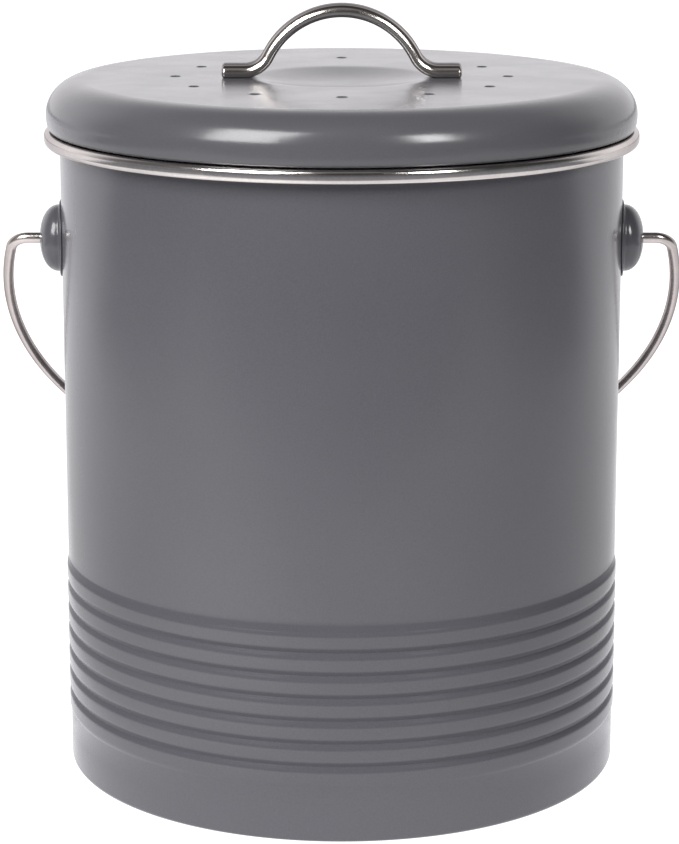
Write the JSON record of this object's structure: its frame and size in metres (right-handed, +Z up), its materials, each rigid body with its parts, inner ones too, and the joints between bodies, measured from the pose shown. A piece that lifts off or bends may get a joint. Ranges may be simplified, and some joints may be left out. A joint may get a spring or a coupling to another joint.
{
  "type": "kitchen compost bin",
  "caption": "Round countertop compost bin: ribbed steel bucket with a bright rim and wire bail, lift-out inner bucket, and a vented lid with a strap handle and charcoal filter.",
  "frame": {"origin": "centre of the underside, on the surface the bin stands on", "axes": "+Z up; -Y is the front; the ears and the bail's axis lie along X"},
  "size_m": [0.223, 0.19, 0.2478],
  "materials": {
    "body_coating": "charcoal grey powder coat, satin",
    "lid_coating": "charcoal grey powder coat, semi-gloss",
    "rim_steel": "bright polished steel",
    "bail_steel": "drawn steel wire, lightly polished",
    "handle_nickel": "polished nickel plate",
    "inner_plastic": "fine moulded satin",
    "fastener_steel": "plain zinc",
    "gasket_rubber": "soft matt silicone",
    "cover_plastic": "fine moulded satin",
    "charcoal_felt": "felted activated charcoal"
  },
  "bodies": {
    "bucket": {"bucket_wall": "body_coating", "bucket_base": "body_coating", "rim_ring": "rim_steel", "ear_cup_left": "body_coating", "ear_cup_right": "body_coating"},
    "bail": {"bail_handle": "bail_steel"},
    "inner_bucket": {"inner_bucket": "inner_plastic"},
    "lid": {"lid_shell": "lid_coating", "lid_handle": "handle_nickel", "handle_screws": "fastener_steel", "handle_washers": "fastener_steel", "inner_lid": "inner_plastic", "lid_gasket": "gasket_rubber"},
    "filter": {"filter_cover": "cover_plastic", "charcoal_filter": "charcoal_felt"}
  },
  "joints": [
    {"name": "bail_swing", "type": "hinge", "parent": "bucket", "child": "bail", "pos_m": [0, 0, 0.1726], "axis": [1, 0, 0], "range_deg": [0, 276.9]},
    {"name": "inner_bucket_lift", "type": "slide", "parent": "bucket", "child": "inner_bucket", "axis": [0, 0, 1], "range_m": [0, 0.24]},
    {"name": "lid_lift", "type": "slide", "parent": "inner_bucket", "child": "lid", "axis": [0, 0, 1], "range_m": [0, 0.12]},
    {"name": "filter_cover_pull", "type": "slide", "parent": "lid", "child": "filter", "axis": [0, 0, -1], "range_m": [0, 0.025]}
  ]
}
